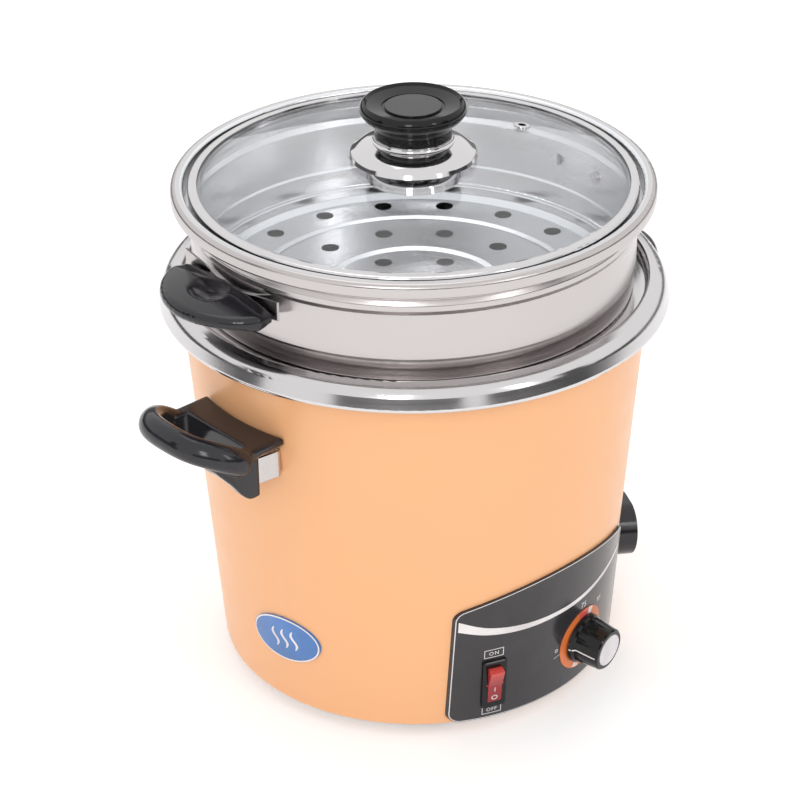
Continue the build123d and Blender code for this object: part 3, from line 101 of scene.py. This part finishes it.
# A material with one Principled shader and short helpers for its nodes
class Shade:
    def __init__(self, name, color, roughness, metallic=0.0, **sockets):
        self.material = bpy.data.materials.new(name)
        self.material.use_nodes = True
        self.tree = self.material.node_tree
        self.shader = self.tree.nodes["Principled BSDF"]
        self.set("Base Color", (*color, 1.0))
        self.set("Roughness", roughness)
        self.set("Metallic", metallic)
        for key, value in sockets.items():
            self.set(socketOf[key], value)
        self.place = self.add("ShaderNodeTexCoord").outputs["Object"]
        self.height = None

    def set(self, socket, value):
        self.shader.inputs[socket].default_value = value

    def add(self, kind, **values):
        node = self.tree.nodes.new(kind)
        for key, value in values.items():
            setattr(node, key, value)
        return node

    def link(self, source, target):
        self.tree.links.new(source, target)

    def compute(self, operation, first, second=None):
        node = self.add("ShaderNodeMath", operation=operation)
        for slot, value in enumerate((first, second)):
            if isinstance(value, (int, float)):
                node.inputs[slot].default_value = value
            elif value is not None:
                self.link(value, node.inputs[slot])
        return node.outputs[0]

    def noise(self, scale, detail=4.0, vector=None):
        node = self.add("ShaderNodeTexNoise")
        node.inputs["Scale"].default_value = scale
        node.inputs["Detail"].default_value = detail
        self.link(vector or self.place, node.inputs["Vector"])
        return node.outputs["Fac"]

    # Fast along radius and height, slow round the axis: lines of spun and polished metal
    def around(self, lines, drift=6.0):
        split = self.add("ShaderNodeSeparateXYZ")
        self.link(self.place, split.inputs[0])
        x, y, z = split.outputs
        square = self.compute("ADD", self.compute("MULTIPLY", x, x), self.compute("MULTIPLY", y, y))
        join = self.add("ShaderNodeCombineXYZ")
        for slot, fast, slow in ((0, self.compute("SQRT", square), x), (1, z, y)):
            drifted = self.compute("MULTIPLY", slow, drift)
            self.link(self.compute("ADD", self.compute("MULTIPLY", fast, lines), drifted), join.inputs[slot])
        return join.outputs[0]

    # Metres from the axis, times how far the face looks away from it: below zero on the inside of a vessel
    def outward(self):
        shape = self.add("ShaderNodeNewGeometry")
        level = self.add("ShaderNodeVectorMath", operation="MULTIPLY")
        level.inputs[1].default_value = (1.0, 1.0, 0.0)
        self.link(shape.outputs["Position"], level.inputs[0])
        facing = self.add("ShaderNodeVectorMath", operation="DOT_PRODUCT")
        self.link(level.outputs[0], facing.inputs[0])
        self.link(shape.outputs["Normal"], facing.inputs[1])
        return facing.outputs["Value"]

    def ramp(self, source, low, high, start=0.3, end=0.7):
        node = self.add("ShaderNodeMapRange")
        self.link(source, node.inputs["Value"])
        node.inputs["From Min"].default_value = start
        node.inputs["From Max"].default_value = end
        node.inputs["To Min"].default_value = low
        node.inputs["To Max"].default_value = high
        return node.outputs[0]

    def roughen(self, source, low, high):
        self.link(self.ramp(source, low, high), self.shader.inputs["Roughness"])

    def tint(self, source, first, second, start=0.3, end=0.7):
        node = self.add("ShaderNodeMix", data_type="RGBA")
        self.link(self.ramp(source, 0.0, 1.0, start, end), node.inputs["Factor"])
        ends = [socket for socket in node.inputs if socket.type == "RGBA"]
        ends[0].default_value = (*first, 1.0)
        ends[1].default_value = (*second, 1.0)
        result = [socket for socket in node.outputs if socket.type == "RGBA"][0]
        self.link(result, self.shader.inputs["Base Color"])

    # Bumps stack: each one takes the last as its normal
    def bump(self, source, distance, strength):
        node = self.add("ShaderNodeBump")
        node.inputs["Strength"].default_value = strength
        node.inputs["Distance"].default_value = distance
        self.link(source, node.inputs["Height"])
        if self.height:
            self.link(self.height, node.inputs["Normal"])
        self.height = node.outputs[0]
        self.link(self.height, self.shader.inputs["Normal"])


def scaled(color, factor):
    return tuple(part * factor for part in color)


# Radii and heights in mm of the painted cone
casing = {"paint": (0.99, 0.515, 0.25), "baseRadius": 117.7, "topRadius": 134.6, "low": 8.0, "height": 235.5}


def casingPaint():
    s = Shade("casingPaint", casing["paint"], 0.34, coat=0.12, coatRoughness=0.2)
    s.tint(s.noise(14.0, 3.0), scaled(casing["paint"], 0.985), scaled(casing["paint"], 1.01))  # uneven coat
    s.roughen(s.noise(60.0), 0.30, 0.40)
    s.bump(s.noise(900.0, 2.0), 0.03 * mm, 0.35)  # orange peel
    s.bump(s.noise(70.0, 2.0), 0.1 * mm, 0.10)  # sheet waviness
    return s.material


def polished(name, color, low=0.05, high=0.13, lines=2600.0, depth=0.08):
    s = Shade(name, color, 0.06, metallic=1.0)
    s.tint(s.noise(9.0), scaled(color, 0.97), color)
    s.roughen(s.noise(1.0, 6.0, s.around(lines / 6.0)), low, high)
    s.bump(s.noise(1.0, 5.0, s.around(lines)), 0.02 * mm, depth)  # buffing lines
    return s.material


# The basket's steel with painted light and shade: brighter and cooler inside, duller and warmer outside;
# spread is how fast one turns into the other
spun = {
    "inside": (0.84, 0.85, 0.87), "outside": (0.56, 0.525, 0.52), "spread": 0.02,
    "low": 0.17, "high": 0.27, "lines": 2200.0, "drift": 14.0, "depth": 0.14,
}


def spunSteel():
    s = Shade("satinSteel", spun["outside"], 0.22, metallic=1.0, anisotropic=0.7)
    # Painted light and shade: faces turned towards the axis take the brighter colour, faces turned away take
    # the duller one
    s.tint(s.outward(), spun["inside"], spun["outside"], -spun["spread"], spun["spread"])
    s.roughen(s.noise(1.0, 6.0, s.around(spun["lines"] / 3.0)), spun["low"], spun["high"])
    s.bump(s.noise(1.0, 6.0, s.around(spun["lines"], spun["drift"])), 0.03 * mm, spun["depth"])
    return s.material


def plated(name, color, low, high):
    s = Shade(name, color, 0.35, metallic=1.0)
    s.tint(s.noise(40.0), scaled(color, 0.9), color)
    s.roughen(s.noise(120.0), low, high)
    s.bump(s.noise(700.0), 0.04 * mm, 0.3)
    return s.material


# Uneven gloss, fine grain and the faint waviness that a mould leaves
def mouldSkin(s, low, high, grain, depth):
    s.roughen(s.noise(45.0, 5.0), low, high)
    s.bump(s.noise(grain, 2.0), 0.03 * mm, depth)
    s.bump(s.noise(55.0, 2.0), 0.3 * mm, 0.06)


def moulded(name, color, low, high, grain=1400.0, depth=0.25, **sockets):
    s = Shade(name, color, 0.3, **sockets)
    s.tint(s.noise(30.0), scaled(color, 0.8), scaled(color, 1.2))
    mouldSkin(s, low, high, grain, depth)
    return s.material


# The switch's red lens with the glow of its lamp painted in: paler towards its upper half, where the lamp
# sits; heights in m
lens = {
    "bottom": (0.40, 0.022, 0.032), "middle": (0.52, 0.03, 0.04), "top": (0.92, 0.09, 0.075),
    "lowZ": 0.024, "highZ": 0.047, "middleAt": 0.55,
}


def redLens():
    s = Shade("redLens", lens["middle"], 0.3, transmission=0.25, subsurface=0.2, subsurfaceScale=0.004)
    mouldSkin(s, low=0.08, high=0.16, grain=700.0, depth=0.05)
    split = s.add("ShaderNodeSeparateXYZ")
    s.link(s.place, split.inputs[0])
    # Painted glow: the colour ramps with height from dark red to pale red
    colors = s.add("ShaderNodeValToRGB")
    s.link(s.ramp(split.outputs["Z"], 0.0, 1.0, lens["lowZ"], lens["highZ"]), colors.inputs["Fac"])
    stops = colors.color_ramp.elements
    stops[0].color = (*lens["bottom"], 1.0)
    stops[1].color = (*lens["top"], 1.0)
    stops.new(lens["middleAt"]).color = (*lens["middle"], 1.0)
    s.link(colors.outputs["Color"], s.shader.inputs["Base Color"])
    return s.material


def clearGlass():
    s = Shade("lidGlass", (0.98, 0.99, 1.0), 0.0, transmission=1.0, ior=1.46)
    s.roughen(s.noise(18.0, 3.0), 0.0, 0.008)
    s.bump(s.noise(14.0, 1.0), 0.2 * mm, 0.05)
    return s.material


potSteel = polished("potSteel", (0.68, 0.66, 0.665), low=0.13, high=0.21, depth=0.03)
strapSteel = polished("strapSteel", (0.60, 0.575, 0.57), low=0.16, high=0.30, lines=900.0, depth=0.10)

# One look for each material slot of the record
look = {
    "casing_paint": casingPaint(),
    "polished_steel": polished("polishedSteel", (0.70, 0.685, 0.69)),
    "satin_steel": spunSteel(),
    "plain_steel": plated("plainSteel", (0.55, 0.55, 0.56), low=0.25, high=0.45),
    "black_bakelite": moulded("blackResin", (0.017, 0.016, 0.020), low=0.10, high=0.18, depth=0.12),
    "gloss_black": moulded(
        "glossBlack", (0.008, 0.008, 0.0085), low=0.06, high=0.14, grain=900.0, depth=0.10, ior=1.38),
    "panel_black": moulded(
        "panelFilm", (0.033, 0.031, 0.035), low=0.12, high=0.20, grain=2400.0, depth=0.12),
    "red_lens": redLens(),
    "dial_print": moulded("dialPrint", (0.80, 0.20, 0.05), low=0.30, high=0.40),
    "badge_blue": moulded(
        "badgeBlue", (0.050, 0.205, 0.56), low=0.16, high=0.26, grain=1800.0, depth=0.1, coat=0.5),
    "cap_silver": moulded("capSilver", (0.80, 0.77, 0.79), low=0.20, high=0.30),
    "rubber_foot": moulded("rubberFoot", (0.018, 0.018, 0.019), low=0.55, high=0.75, grain=900.0, depth=0.5),
    "lid_glass": clearGlass(),
    "silicone": moulded("silicone", (0.72, 0.72, 0.70), low=0.35, high=0.5),
    "cast_aluminium": plated("castAluminium", (0.62, 0.62, 0.63), low=0.4, high=0.6),
    "brass_pin": plated("brassPin", (0.72, 0.60, 0.36), low=0.2, high=0.35),
}
ownSteel = {"inner_pot": potSteel, "handle_strap_left": strapSteel, "handle_strap_right": strapSteel}
slotOf = {entry["node"]: entry["material_slot"] for entry in frame["record"]["subparts"]}
for name, node in nodes.items():
    node.data.materials.clear()
    node.data.materials.append(ownSteel.get(name, look[slotOf[name]]))
nodes["lid_glass"].visible_shadow = False

print("stage: softened mouldings")


# A moulded piece made from its CAD solid: fine even mesh, edges eased as a mould leaves them
def mouldedPiece(nodeName, pieceName, body, voxel=None, rounds=0, reshape=None):
    node = nodes[nodeName]
    mesh = node.data.copy()
    mesh.transform(node.matrix_world)
    piece = addObject(pieceName, mesh)
    if voxel:
        remesh = piece.modifiers.new("evenMesh", "REMESH")
        remesh.mode = "VOXEL"
        remesh.voxel_size = voxel * mm
        ease = piece.modifiers.new("easedEdges", "SMOOTH")
        ease.factor = 0.5
        ease.iterations = rounds
    depsgraph = bpy.context.evaluated_depsgraph_get()
    solid = bpy.data.meshes.new_from_object(piece.evaluated_get(depsgraph))
    piece.modifiers.clear()
    piece.data = solid
    if reshape:
        moved = [reshape(v.co.copy(), v.normal.copy()) for v in solid.vertices]
        for v, spot in zip(solid.vertices, moved):
            v.co = spot
    solid.materials.clear()
    solid.materials.append(look[slotOf[nodeName]])
    if voxel:
        for face in solid.polygons:
            face.use_smooth = True
    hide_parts(nodeName)
    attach(piece, body)


grip = {"voxel": 0.8, "rounds": 10}
# The tongues stand 90 degrees to either side of turn; from back outwards they fill out over fade, in mm
tongue = {
    "voxel": 0.8, "rounds": 12, "turn": -4.0, "back": 128.9, "fade": 9.0, "plump": 2.2,
    "halfWide": 36.2, "endRise": 6.0, "endStretch": 0.10,
}


# The tongue's mould fills out away from its root and lifts its two shoulders
def plumpTongue(turn):
    angle = math.radians(turn)
    out = Vector((math.sin(angle), -math.cos(angle), 0))
    across = Vector((math.cos(angle), math.sin(angle), 0))

    def reshape(spot, normal):
        reach = max(0.0, min(1.0, (spot.dot(out) / mm - tongue["back"]) / tongue["fade"]))
        ease = reach * reach * (3 - 2 * reach)
        side = spot.dot(across) / mm / tongue["halfWide"]
        rise = tongue["endRise"] * side * side
        stretch = tongue["endStretch"] * side * side * spot.dot(across)
        return spot + normal * tongue["plump"] * ease * mm + across * stretch + Vector((0, 0, rise * mm))
    return reshape


for side, turn in (("left", tongue["turn"] - 90), ("right", tongue["turn"] + 90)):
    reshape = plumpTongue(turn)
    mouldedPiece(f"handle_grip_{side}", f"mouldedGrip_{side}", "base", grip["voxel"], grip["rounds"])
    mouldedPiece(
        f"basket_grip_{side}", f"mouldedTongue_{side}", "steamer", tongue["voxel"], tongue["rounds"], reshape)
    mouldedPiece(f"basket_strap_{side}", f"bentStrap_{side}", "steamer", reshape=reshape)

print("stage: printed marks")


# Casing radius in mm at a height in mm
def casingRadius(z):
    slope = (casing["topRadius"] - casing["baseRadius"]) / casing["height"]
    return casing["baseRadius"] + slope * (z - casing["low"])


# A point gain mm proud of the casing, from its place across and up in mm, seen square from the front
def frontPoint(x, z, gain):
    radius = casingRadius(z) + gain
    return Vector((x * mm, -math.sqrt(radius * radius - x * x) * mm, z * mm))


# The flat frame touching the casing at a heading and height: centre, right, up and out
def facePlane(turn, z):
    angle = math.radians(turn)
    lean = math.atan((casing["topRadius"] - casing["baseRadius"]) / casing["height"])
    out = Vector((math.sin(angle), -math.cos(angle), 0))
    right = Vector((math.cos(angle), math.sin(angle), 0))
    normal = out * math.cos(lean) - Vector((0, 0, 1)) * math.sin(lean)
    return out * casingRadius(z) + Vector((0, 0, z)), right, normal.cross(right), normal


# A rule that lays flat marks of that frame on the cone, gain mm proud of it
def onFace(turn, z, gain):
    seat, right, up = facePlane(turn, z)[:3]

    def place(x, y, lift):
        spot = seat + right * x + up * y
        scale = (casingRadius(spot.z) + gain + lift) / math.hypot(spot.x, spot.y)
        return Vector((spot.x * scale, spot.y * scale, spot.z)) * mm
    return place


# The point where a straight line first meets a CAD node, or else the spare point
def meet(surface, start, way, spare):
    hit = surface.ray_cast(start, way)[0]
    return spare if hit is None else hit


def surfaceOf(nodeName):
    node = nodes[nodeName]
    spots = [node.matrix_world @ v.co for v in node.data.vertices]
    return BVHTree.FromPolygons(spots, [tuple(p.vertices) for p in node.data.polygons])


filmThick = 0.03  # mm of a printed ink


# A thin closed film: its shape is flat points in mm with their faces, place lays them on the object
def film(name, shape, place, material, body, thick=filmThick):
    points, faces = shape
    build = bmesh.new()
    low = [build.verts.new(place(x, y, 0.0)) for x, y in points]
    high = [build.verts.new(place(x, y, thick)) for x, y in points]
    edges = set()
    for face in faces:
        build.faces.new([high[i] for i in face])
        build.faces.new([low[i] for i in reversed(face)])
        edges.update(zip(face, (*face[1:], face[0])))
    for one, two in sorted(edges):
        if (two, one) not in edges:
            build.faces.new([low[one], low[two], high[two], high[one]])
    bmesh.ops.recalc_face_normals(build, faces=build.faces)
    mesh = bpy.data.meshes.new(name)
    build.to_mesh(mesh)
    build.free()
    mesh.materials.append(material)
    piece = addObject(name, mesh)
    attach(piece, body)


# The band between two edges with as many points each
def strip(outer, inner, closed=False):
    count = len(outer)
    last = count if closed else count - 1
    faces = [(i, (i + 1) % count, count + (i + 1) % count, count + i) for i in range(last)]
    return [*outer, *inner], faces


# Part of a flat ring, its degrees counted clockwise from the top
def ringPart(low, high, start, end, steps):
    turns = [math.radians(degrees) for degrees in spaced(start, end, steps)]
    outer = [(high * math.sin(a), high * math.cos(a)) for a in turns]
    inner = [(low * math.sin(a), low * math.cos(a)) for a in turns]
    return strip(outer, inner)


def rectangleFrame(halfWide, halfTall, line, steps=10):
    def walk(w, t):
        across, upward = spaced(-w, w, steps), spaced(-t, t, steps)
        side = [(x, -t) for x in across[:-1]] + [(w, y) for y in upward[:-1]]
        return side + [(-x, -y) for x, y in side]
    return strip(walk(halfWide, halfTall), walk(halfWide - line, halfTall - line), True)


capHeight = 0.7  # of the built-in font's size


# Letters as a flat shape, tall mm high, centred across and up
def lettering(text, tall, spread=1.0):
    curve = bpy.data.curves.new("letters", "FONT")
    curve.body = text
    curve.size = tall / capHeight
    curve.space_character = spread
    curve.align_x = "CENTER"
    curve.resolution_u = 3
    holder = addObject("letters", curve)
    mesh = bpy.data.meshes.new_from_object(holder.evaluated_get(bpy.context.evaluated_depsgraph_get()))
    points = [(v.co.x, v.co.y - tall / 2) for v in mesh.vertices]
    faces = [tuple(p.vertices) for p in mesh.polygons]
    bpy.data.objects.remove(holder)
    bpy.data.meshes.remove(mesh)
    return points, faces


def shifted(shape, x, y):
    points, faces = shape
    return [(px + x, py + y) for px, py in points], faces


ink = {
    "white": moulded("whiteInk", (0.88, 0.84, 0.84), low=0.20, high=0.30, grain=1600.0, depth=0.08),
    "silver": plated("silverInk", (0.80, 0.78, 0.79), low=0.22, high=0.34),
    "red": moulded("redInk", (0.80, 0.10, 0.10), low=0.25, high=0.35),
    "pink": moulded("pinkInk", (0.93, 0.72, 0.68), low=0.25, high=0.35),
}

# The panel's face in mm, seen square from the front; each swoosh station is across, lower and upper edge
panel = {
    "gain": 1.78, "halfWide": 68.36, "lowZ": 9.6, "sideZ": 88.5, "crownZ": 100.5, "corner": 7.0,
    "lineInset": 0.35, "lineWide": 0.5, "cornerSteps": 12, "sideSteps": 10, "topSteps": 40, "baseSteps": 30,
    "swoosh": ((-66.4, 76.2, 83.2), (-50.7, 70.9, 75.9), (-29.0, 68.1, 71.9), (-5.0, 67.9, 70.8),
               (16.3, 68.8, 71.7), (38.2, 71.8, 74.6), (58.0, 75.6, 78.2), (66.6, 79.3, 79.9)),
    "swooshSteps": 8,
}


# The panel's outline pulled in by inset mm: right side upwards, top, left side and base
def panelEdge(inset):
    wide, corner, lowZ = panel["halfWide"], panel["corner"], panel["lowZ"]
    rise = panel["crownZ"] - panel["sideZ"]
    crown = (wide * wide + rise * rise) / (2 * rise)  # radius of the top's arc
    middle = panel["crownZ"] - crown
    inner = wide - corner
    shoulderZ = middle + math.sqrt((crown - corner) ** 2 - inner ** 2)
    tip = math.degrees(math.atan2(shoulderZ - middle, inner))

    def arc(x, z, radius, start, end, steps):
        turns = [math.radians(degrees) for degrees in spaced(start, end, steps)]
        return [(x + radius * math.cos(a), z + radius * math.sin(a)) for a in turns]

    lower = arc(inner, lowZ + corner, corner - inset, -90, 0, panel["cornerSteps"])
    upper = arc(inner, shoulderZ, corner - inset, 0, tip, panel["cornerSteps"])
    side = [(lower[-1][0], z) for z in spaced(lower[-1][1], upper[0][1], panel["sideSteps"])[1:-1]]
    top = arc(0.0, middle, crown - inset, tip, 180 - tip, panel["topSteps"])[1:-1]
    right = lower + side + upper
    base = [(x, lowZ + inset) for x in spaced(-inner, inner, panel["baseSteps"])[1:-1]]
    return right + top + [(-x, z) for x, z in reversed(right)] + base


# A smooth curve's value, t of the way from b to c, with a before them and d after
def blend(t, a, b, c, d):
    bend, twist = 2 * a - 5 * b + 4 * c - d, 3 * b - a - 3 * c + d
    return 0.5 * (2 * b + (c - a) * t + bend * t * t + twist * t ** 3)


# Smooth rows through the stations, steps of them from each to the next
def between(stations, steps):
    ends = [stations[0], *stations, stations[-1]]
    rows = []
    for i in range(1, len(ends) - 2):
        for t in spaced(0.0, 1.0, steps)[:-1]:
            rows.append([blend(t, *near) for near in zip(*ends[i - 1:i + 3])])
    return rows + [list(stations[-1])]


def onPanel(x, z, lift):
    return frontPoint(x, z, panel["gain"] + lift)


outer, inner = panelEdge(panel["lineInset"]), panelEdge(panel["lineInset"] + panel["lineWide"])
film("panelLine", strip(outer, inner, True), onPanel, ink["silver"], "base")
wave = between(panel["swoosh"], panel["swooshSteps"])
swoosh = strip([(x, high) for x, low, high in wave], [(x, low) for x, low, high in wave])
film("panelSwoosh", swoosh, onPanel, ink["white"], "base")

# Framed words above and below the switch; turn in degrees, the rest in mm
switchMarks = {
    "turn": -22.1, "halfWide": 5.9, "halfTall": 2.9, "line": 0.4, "letter": 2.5,
    "words": (("ON", 56.8, 1.25), ("OFF", 15.4, 1.1)),  # word, height, letter spread
}
for word, z, spread in switchMarks["words"]:
    place = onFace(switchMarks["turn"], z, panel["gain"])
    border = rectangleFrame(switchMarks["halfWide"], switchMarks["halfTall"], switchMarks["line"])
    film(f"switchFrame{word}", border, place, ink["white"], "base")
    letters = lettering(word, switchMarks["letter"], spread)
    film(f"switchWord{word}", letters, place, ink["white"], "base")

# Coloured patches on the dial's ring, from and to in degrees, and the marks round it in mm from its centre
dial = {
    "turn": 9.4, "z": 39.2, "gain": 2.32, "low": 12.5, "high": 19.9, "patchSteps": 12,
    "patches": (("red", -16, 12), ("white", 14, 26), ("pink", 186, 202)),
    "numbers": (("75", -1.0, 24.0), ("95", 17.2, 17.9)), "numberTall": 3.8,
    "lineFrom": (-24.5, -3.4), "lineTo": (-19.5, -2.15), "lineWide": 0.3, "lineSteps": 5,
    "markHalf": 1.0, "markLine": 0.35, "markSteps": 3, "markAt": (-23.0, 1.6),
}
onDial = onFace(dial["turn"], dial["z"], dial["gain"])
byDial = onFace(dial["turn"], dial["z"], panel["gain"])
for name, start, end in dial["patches"]:
    patch = ringPart(dial["low"], dial["high"], start, end, dial["patchSteps"])
    film(f"dialPatch_{name}", patch, onDial, ink[name], "base")
for number, x, y in dial["numbers"]:
    letters = shifted(lettering(number, dial["numberTall"]), x, y)
    film(f"dialNumber_{number}", letters, byDial, ink["white"], "base")
(startX, startY), (endX, endY) = dial["lineFrom"], dial["lineTo"]
upper = list(zip(spaced(startX, endX, dial["lineSteps"]), spaced(startY, endY, dial["lineSteps"])))
stopLine = strip(upper, [(x, y - dial["lineWide"]) for x, y in upper])
film("dialStopLine", stopLine, byDial, ink["white"], "base")
stopMark = rectangleFrame(dial["markHalf"], dial["markHalf"], dial["markLine"], dial["markSteps"])
film("dialStopMark", shifted(stopMark, *dial["markAt"]), byDial, ink["white"], "base")

# The two signs on the rocker, in mm from the middle of its face; the rays start reach mm out
rocker = {
    "turn": -21.9, "z": 35.3, "reach": 20.0, "lift": 0.03, "line": 0.55,
    "zeroY": -9.2, "zeroRadius": 1.7, "zeroStretch": 1.15, "zeroSteps": 32, "oneY": -3.2, "oneHalf": 1.5,
}


# Lays a mark on a CAD node: each point goes straight in along the frame's normal until it meets the node
def meetNode(nodeName, turn, z, reach, lift):
    surface = surfaceOf(nodeName)
    seat, right, up, normal = facePlane(turn, z)

    def place(x, y, extra):
        spot = seat + right * x + up * y
        hit = meet(surface, (spot + normal * reach) * mm, -normal, (spot + normal * lift) * mm)
        return hit + normal * (lift + extra) * mm
    return place


onRocker = meetNode("switch_rocker", rocker["turn"], rocker["z"], rocker["reach"], rocker["lift"])
radius, line = rocker["zeroRadius"], rocker["line"]
points, faces = ringPart(radius - line, radius, 0, 360, rocker["zeroSteps"])
points = [(x * rocker["zeroStretch"], y + rocker["zeroY"]) for x, y in points]
film("rockerZero", (points, faces), onRocker, ink["white"], "rocker")
levels = [rocker["oneY"] + y for y in spaced(-rocker["oneHalf"], rocker["oneHalf"], 2)]
bar = strip([(line / 2, y) for y in levels], [(-line / 2, y) for y in levels])
film("rockerOne", bar, onRocker, ink["white"], "rocker")

# The oval badge on the casing's left, in degrees and mm, and its three steam waves
badge = {
    "turn": -81.6, "z": 54.1, "tilt": 7.1, "gain": 1.22, "halfWide": 25.0, "halfTall": 15.0,
    "edge": 0.1, "rim": 1.1, "rimThick": 0.12, "rimSteps": 96,
    "waves": (-7.0, 0.0, 7.0), "waveThick": 0.06, "waveTall": 13.0, "waveSway": 1.6, "waveHalf": 1.05,
    "waveSteps": 24, "waveTip": 0.6,  # it would come to a point this many steps past its ends
}


def badgeFilm(name, shape, material, thick):
    points, faces = shape
    c, s = math.cos(math.radians(badge["tilt"])), math.sin(math.radians(badge["tilt"]))
    turned = [(x * c - y * s, x * s + y * c) for x, y in points]
    place = onFace(badge["turn"], badge["z"], badge["gain"])
    film(name, (turned, faces), place, material, "base", thick)


def badgeOval(inset):
    turns = spaced(0.0, 2 * math.pi, badge["rimSteps"])[:-1]
    wide, tall = badge["halfWide"] - inset, badge["halfTall"] - inset
    return [(wide * math.cos(a), tall * math.sin(a)) for a in turns]


# A wave that sways once and narrows to both ends
def steamWave(middle):
    steps, tall, tip = badge["waveSteps"], badge["waveTall"], badge["waveTip"]
    left, right = [], []
    for i in range(steps + 1):
        x, y = middle + badge["waveSway"] * math.sin(2 * math.pi * i / steps), tall * (i / steps - 0.5)
        half = badge["waveHalf"] * math.sin(math.pi * (i + tip) / (steps + 2 * tip)) ** 0.5
        left.append((x - half, y))
        right.append((x + half, y))
    return strip(left, right)


rimShape = strip(badgeOval(badge["edge"]), badgeOval(badge["rim"]), True)
badgeFilm("badgeRim", rimShape, ink["silver"], badge["rimThick"])
for index, middle in enumerate(badge["waves"]):
    badgeFilm(f"badgeSteam_{index}", steamWave(middle), ink["white"], badge["waveThick"])

# The knob's pointer: angle counts from three o'clock, low and high are mm out from the casing
pointer = {
    "angle": 180.0, "wide": 0.9, "low": 3.2, "high": 20.0, "steps": 24,
    "reach": 30.0, "spareRadius": 13.0, "lift": 0.03,
}


# The pointer line runs out over the knob's skirt and along its side, at nine o'clock
def knobPointer():
    surface = surfaceOf("thermostat_knob")
    seat, right, up, normal = facePlane(dial["turn"], dial["z"])
    angle = math.radians(pointer["angle"])
    away = right * math.cos(angle) + up * math.sin(angle)
    along = normal.cross(away)

    def place(x, y, extra):
        spot = seat + normal * y + along * x
        spare = (spot + away * pointer["spareRadius"]) * mm
        hit = meet(surface, (spot + away * pointer["reach"]) * mm, -away, spare)
        return hit + away * (pointer["lift"] + extra) * mm
    levels = spaced(pointer["low"], pointer["high"], pointer["steps"])
    half = pointer["wide"] / 2
    shape = strip([(-half, y) for y in levels], [(half, y) for y in levels])
    film("knobPointer", shape, place, ink["white"], "knob")


knobPointer()

print("stage: floor, lights and world")

# Strengths, places and sizes in m; the lamps aim at a point on the axis
studio = {
    "floorRadius": 6.0, "floorColor": (0.93, 0.93, 0.93), "floorGlow": 0.30, "floorDrop": 0.0001,
    "world": 0.85, "worldSeen": 1.0, "aimZ": 0.15,
    "lamps": (  # name, place, size, power
        ("keyLamp", (-1.6, -1.2, 1.3), (0.45, 1.0), 7.0),
        ("fillLamp", (0.1, -2.0, 1.2), (0.22, 1.0), 3.0),
        ("topLamp", (0.3, 0.5, 1.9), (1.0, 1.0), 2.5),
    ),
    "wallRadius": 2.6, "wallFacet": 6,
    "walls": (  # name, start and end in degrees, bottom, top, grey level
        ("wallByCamera", -76, -24, 0.10, 0.72, 0.03),
        ("wallRight", -14, 62, 0.10, 0.72, 0.05),
        ("wallFarRight", 62, 140, 0.10, 0.72, 0.25),
        ("wallFarLeft", 140, 252, 0.10, 0.72, 0.12),
        ("tallLeft", -122, -112, 0.0, 1.6, 0.04),
        ("tallRight", 20, 34, 0.0, 1.6, 0.04),
    ),
}


# One for a ray that shows the background: from the camera, off metal or through glass
def seenRay(tree):
    path = tree.nodes.new("ShaderNodeLightPath")
    seen = path.outputs["Is Camera Ray"]
    for ray in ("Is Glossy Ray", "Is Transmission Ray"):
        either = tree.nodes.new("ShaderNodeMath")
        either.operation = "MAXIMUM"
        tree.links.new(seen, either.inputs[0])
        tree.links.new(path.outputs[ray], either.inputs[1])
        seen = either.outputs[0]
    return seen


def makeFloor():
    mesh = bpy.data.meshes.new("studioFloor")
    build = bmesh.new()
    bmesh.ops.create_circle(build, cap_ends=True, segments=96, radius=studio["floorRadius"])
    build.to_mesh(mesh)
    build.free()
    floor = addObject("studioFloor", mesh)
    floor.location.z = -studio["floorDrop"]
    s = Shade("studioFloor", studio["floorColor"], 0.9)
    glow = s.add("ShaderNodeEmission")
    s.link(s.compute("MULTIPLY", seenRay(s.tree), studio["floorGlow"]), glow.inputs["Strength"])
    total = s.add("ShaderNodeAddShader")
    s.link(s.shader.outputs[0], total.inputs[0])
    s.link(glow.outputs[0], total.inputs[1])
    s.link(total.outputs[0], s.tree.nodes["Material Output"].inputs["Surface"])
    mesh.materials.append(s.material)


def makeWorld():
    world = bpy.data.worlds.new("studioWorld")
    bpy.context.scene.world = world
    world.use_nodes = True
    tree = world.node_tree
    level = tree.nodes.new("ShaderNodeMapRange")
    tree.links.new(seenRay(tree), level.inputs["Value"])
    level.inputs["To Min"].default_value = studio["world"]
    level.inputs["To Max"].default_value = studio["worldSeen"]
    back = tree.nodes["Background"]
    tree.links.new(level.outputs[0], back.inputs["Strength"])
    back.inputs["Color"].default_value = (1.0, 1.0, 1.0, 1.0)


def softbox(name, place, size, power):
    data = bpy.data.lights.new(name, "AREA")
    data.shape = "RECTANGLE"
    data.size, data.size_y = size
    data.energy = power
    lamp = addObject(name, data)
    lamp.location = place
    aim = Vector((0, 0, studio["aimZ"])) - Vector(place)
    lamp.rotation_euler = aim.to_track_quat("-Z", "Y").to_euler()


# A dark wall standing round the studio that only mirror reflections see, for contrast in polished metal
def darkWall(name, start, end, low, high, level):
    build = bmesh.new()
    rows = []
    for degrees in spaced(start, end, max(2, round((end - start) / studio["wallFacet"]))):
        turn = math.radians(degrees)
        x, y = studio["wallRadius"] * math.sin(turn), -studio["wallRadius"] * math.cos(turn)
        rows.append((build.verts.new((x, y, low)), build.verts.new((x, y, high))))
    for (lowOne, highOne), (lowTwo, highTwo) in zip(rows, rows[1:]):
        build.faces.new((lowOne, lowTwo, highTwo, highOne))
    mesh = bpy.data.meshes.new(name)
    build.to_mesh(mesh)
    build.free()
    wall = addObject(name, mesh)
    for ray in ("camera", "diffuse", "shadow", "transmission", "volume_scatter"):
        setattr(wall, "visible_" + ray, False)
    mesh.materials.append(Shade(name, (level, level, level), 0.9).material)


makeFloor()
makeWorld()
for lamp in studio["lamps"]:
    softbox(*lamp)
for wall in studio["walls"]:
    darkWall(*wall)
